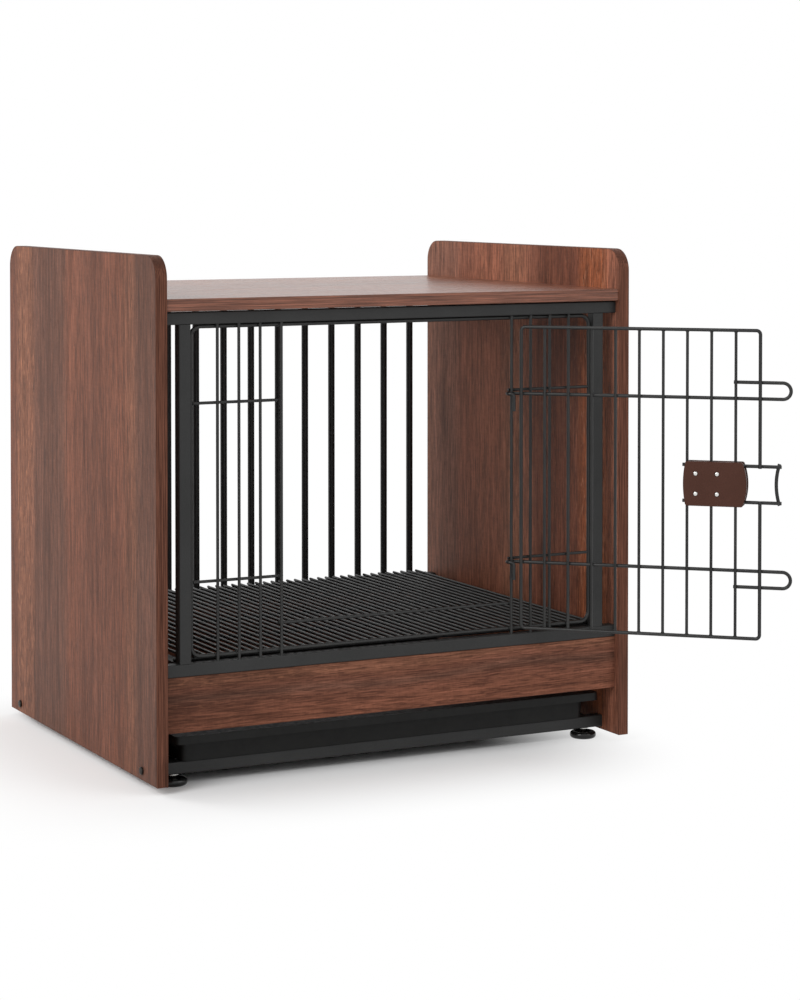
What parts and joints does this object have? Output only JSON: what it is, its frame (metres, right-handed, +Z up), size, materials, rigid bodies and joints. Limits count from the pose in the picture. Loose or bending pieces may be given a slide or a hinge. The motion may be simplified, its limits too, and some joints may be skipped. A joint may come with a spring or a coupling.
{
  "type": "dog crate end table",
  "caption": "End table with two tall side boards over a steel frame, a barred rear, a wire gate with a hinged door and sliding latch, a floor grille and a pull-out tray.",
  "frame": {"origin": "on the floor, under the middle of the table's footprint", "axes": "+Z up; -Y out through the door at the front; +X to the right seen from the front"},
  "size_m": [0.7544, 0.7572, 0.639],
  "materials": {
    "walnut_board": "satin laminate with a dark walnut grain",
    "frame_steel": "satin black powder coat",
    "gate_wire": "satin black powder coat",
    "latch_plastic": "fine-grained brown plastic",
    "black_plastic": "fine-grained black plastic",
    "foot_plastic": "smooth black plastic",
    "zinc": "bright zinc plate",
    "beech": "raw fluted beech"
  },
  "bodies": {
    "crate": {"left_side_panel": "walnut_board", "right_side_panel": "walnut_board", "table_top": "walnut_board", "front_apron": "walnut_board", "rear_apron": "walnut_board", "front_top_rail": "frame_steel", "front_mid_rail": "frame_steel", "front_base_rail": "frame_steel", "rear_top_rail": "frame_steel", "rear_mid_rail": "frame_steel", "rear_base_rail": "frame_steel", "front_left_post": "frame_steel", "front_right_post": "frame_steel", "rear_bars": "frame_steel", "left_floor_rail": "frame_steel", "right_floor_rail": "frame_steel", "left_base_rail": "frame_steel", "right_base_rail": "frame_steel", "gate_loop_wire": "gate_wire", "left_fixed_uprights": "gate_wire", "right_fixed_uprights": "gate_wire", "fixed_crossbars": "gate_wire", "sill_wire": "gate_wire", "floor_grille_rods": "gate_wire", "floor_grille_crossbars": "gate_wire", "rail_end_plugs": "black_plastic", "base_rail_nuts": "zinc", "panel_bolts": "zinc", "cam_locks": "zinc", "cam_bolts": "zinc", "dowels": "beech", "foot_nuts": "zinc"},
    "door": {"door_frame_wire": "gate_wire", "door_uprights": "gate_wire", "door_crossbars": "gate_wire", "latch_rods": "gate_wire", "latch_bow": "gate_wire"},
    "latch_slider": {"latch_inner_plate": "latch_plastic", "latch_outer_plate": "latch_plastic", "latch_screws": "zinc"},
    "tray": {"tray": "black_plastic"},
    "foot_front_left": {"foot_pad_front_left": "foot_plastic", "foot_stud_front_left": "zinc"},
    "foot_front_right": {"foot_pad_front_right": "foot_plastic", "foot_stud_front_right": "zinc"},
    "foot_rear_left": {"foot_pad_rear_left": "foot_plastic", "foot_stud_rear_left": "zinc"},
    "foot_rear_right": {"foot_pad_rear_right": "foot_plastic", "foot_stud_rear_right": "zinc"}
  },
  "joints": [
    {"name": "door_hinge", "type": "hinge", "parent": "crate", "child": "door", "pos_m": [0.1602, -0.2531, 0.351], "axis": [0, 0, 1], "range_deg": [-137, 23]},
    {"name": "latch_slide", "type": "slide", "parent": "door", "child": "latch_slider", "axis": [0.7314, -0.682, 0], "range_m": [0, 0.03]},
    {"name": "tray_slide", "type": "slide", "parent": "crate", "child": "tray", "axis": [0, -1, 0], "range_m": [0, 0.4]},
    {"name": "foot_front_left_screw", "type": "slide", "parent": "crate", "child": "foot_front_left", "axis": [0, 0, -1], "range_m": [0, 0.008]},
    {"name": "foot_front_right_screw", "type": "slide", "parent": "crate", "child": "foot_front_right", "axis": [0, 0, -1], "range_m": [0, 0.008]},
    {"name": "foot_rear_left_screw", "type": "slide", "parent": "crate", "child": "foot_rear_left", "axis": [0, 0, -1], "range_m": [0, 0.008]},
    {"name": "foot_rear_right_screw", "type": "slide", "parent": "crate", "child": "foot_rear_right", "axis": [0, 0, -1], "range_m": [0, 0.008]}
  ]
}
